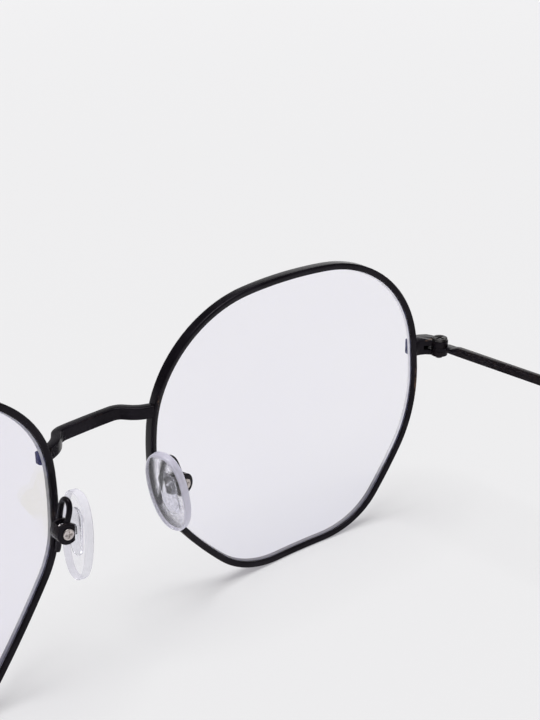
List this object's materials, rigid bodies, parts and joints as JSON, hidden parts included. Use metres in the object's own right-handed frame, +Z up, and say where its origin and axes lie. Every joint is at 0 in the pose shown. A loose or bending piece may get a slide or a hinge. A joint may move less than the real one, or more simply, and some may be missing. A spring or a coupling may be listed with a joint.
{
  "type": "spectacles",
  "caption": "Wire-rimmed spectacles with rounded hexagonal rims, clear tinted lenses, a metal bridge, clear nose pads on wire arms and folding metal temples with round tips",
  "frame": {"origin": "middle of the spectacles' bounding box, seen from above, at the height of the table they stand on", "axes": "+X is the wearer's left, +Y runs back from the front along the open temples, +Z is up"},
  "size_m": [0.136, 0.1466, 0.0501],
  "materials": {
    "black_lacquer": "gloss",
    "clear_lens": "gloss",
    "steel_screw": "satin",
    "black_sleeve": "gloss",
    "clear_pad": "gloss",
    "clear_insert": "gloss"
  },
  "bodies": {
    "front": {"bridge": "black_lacquer", "left_rim": "black_lacquer", "left_lens": "clear_lens", "left_endpiece": "black_lacquer", "left_rim_lock": "black_lacquer", "left_lens_screw": "steel_screw", "left_hinge_screw": "steel_screw", "left_pad_arm": "black_lacquer", "left_pad_box": "black_lacquer", "left_pad_screw": "steel_screw", "right_rim": "black_lacquer", "right_lens": "clear_lens", "right_endpiece": "black_lacquer", "right_rim_lock": "black_lacquer", "right_lens_screw": "steel_screw", "right_hinge_screw": "steel_screw", "right_pad_arm": "black_lacquer", "right_pad_box": "black_lacquer", "right_pad_screw": "steel_screw"},
    "left_temple": {"left_temple": "black_lacquer", "left_temple_tip": "black_sleeve"},
    "right_temple": {"right_temple": "black_lacquer", "right_temple_tip": "black_sleeve"},
    "left_pad": {"left_pad_insert": "clear_insert", "left_nose_pad": "clear_pad"},
    "right_pad": {"right_pad_insert": "clear_insert", "right_nose_pad": "clear_pad"}
  },
  "joints": [
    {"name": "left_temple_fold", "type": "hinge", "parent": "front", "child": "left_temple", "pos_m": [0.066, -0.06157, 0.02988], "axis": [0, 0, 1], "range_deg": [0, 89]},
    {"name": "right_temple_fold", "type": "hinge", "parent": "front", "child": "right_temple", "pos_m": [-0.066, -0.06157, 0.02988], "axis": [0, 0, -1], "range_deg": [0, 82]},
    {"name": "left_pad_rock", "type": "hinge", "parent": "front", "child": "left_pad", "pos_m": [0.0102, -0.06507, 0.02534], "axis": [0.1387, 0.9872, 0.0785], "range_deg": [-5, 5]},
    {"name": "right_pad_rock", "type": "hinge", "parent": "front", "child": "right_pad", "pos_m": [-0.0102, -0.06507, 0.02464], "axis": [-0.1387, 0.9872, 0.0785], "range_deg": [-5, 5]}
  ]
}
